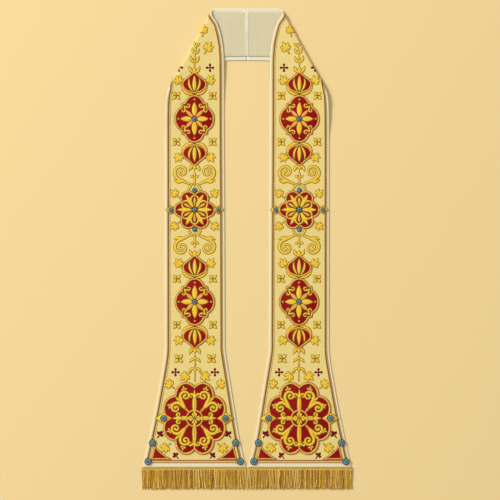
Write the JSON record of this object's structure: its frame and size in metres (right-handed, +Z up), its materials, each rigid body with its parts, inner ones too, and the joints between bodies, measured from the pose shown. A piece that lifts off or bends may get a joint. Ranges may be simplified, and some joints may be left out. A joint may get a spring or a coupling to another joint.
{
  "type": "clergy stole",
  "caption": "Roman-cut clergy stole laid flat: two flared fringed bands folded over at the shoulders, lined neck section behind.",
  "frame": {"origin": "under the middle of the whole stole, fringe included, on the surface it lies on", "axes": "+Y along the bands towards the neck, +X to the right seen from above, +Z up from the surface"},
  "size_m": [0.45, 1.026, 0.0091],
  "materials": {
    "ground_satin": "cream woven silk with a dull sheen, white satin margins",
    "neck_lining": "beige satin lining with soft sheen",
    "edge_braid": "narrow woven braid in gold and brown thread",
    "gold_fringe": "twisted metallic gold thread",
    "red_applique": "padded deep red satin stitch with gold cord",
    "cut_stone": "round foil-backed blue glass stones"
  },
  "bodies": {
    "root": {"left_panel": "ground_satin", "left_neck_lining": "neck_lining", "left_edge_braid": "edge_braid", "left_fringe": "gold_fringe", "left_upper_quatrefoil": "red_applique", "left_upper_quatrefoil_fruit_above": "red_applique", "left_upper_quatrefoil_fruit_below": "red_applique", "left_rosette": "red_applique", "left_lower_quatrefoil": "red_applique", "left_lower_quatrefoil_fruit_above": "red_applique", "left_lower_quatrefoil_fruit_below": "red_applique", "left_roundel": "red_applique", "left_corner_piece_inner": "red_applique", "left_corner_piece_outer": "red_applique", "left_upper_stone": "cut_stone", "left_rosette_stone": "cut_stone", "left_rosette_top_stone": "cut_stone", "left_rosette_low_stone": "cut_stone", "left_rosette_side_stone_inner": "cut_stone", "left_rosette_side_stone_outer": "cut_stone", "left_lower_stone": "cut_stone", "left_roundel_stone_inner": "cut_stone", "left_roundel_stone_outer": "cut_stone", "left_border_stone_inner": "cut_stone", "left_border_stone_outer": "cut_stone", "left_corner_stone_inner": "cut_stone", "left_corner_stone_outer": "cut_stone", "right_panel": "ground_satin", "right_neck_lining": "neck_lining", "right_edge_braid": "edge_braid", "right_fringe": "gold_fringe", "right_upper_quatrefoil": "red_applique", "right_upper_quatrefoil_fruit_above": "red_applique", "right_upper_quatrefoil_fruit_below": "red_applique", "right_rosette": "red_applique", "right_lower_quatrefoil": "red_applique", "right_lower_quatrefoil_fruit_above": "red_applique", "right_lower_quatrefoil_fruit_below": "red_applique", "right_roundel": "red_applique", "right_corner_piece_inner": "red_applique", "right_corner_piece_outer": "red_applique", "right_upper_stone": "cut_stone", "right_rosette_stone": "cut_stone", "right_rosette_top_stone": "cut_stone", "right_rosette_low_stone": "cut_stone", "right_rosette_side_stone_inner": "cut_stone", "right_rosette_side_stone_outer": "cut_stone", "right_lower_stone": "cut_stone", "right_roundel_stone_inner": "cut_stone", "right_roundel_stone_outer": "cut_stone", "right_border_stone_inner": "cut_stone", "right_border_stone_outer": "cut_stone", "right_corner_stone_inner": "cut_stone", "right_corner_stone_outer": "cut_stone"}
  },
  "joints": []
}
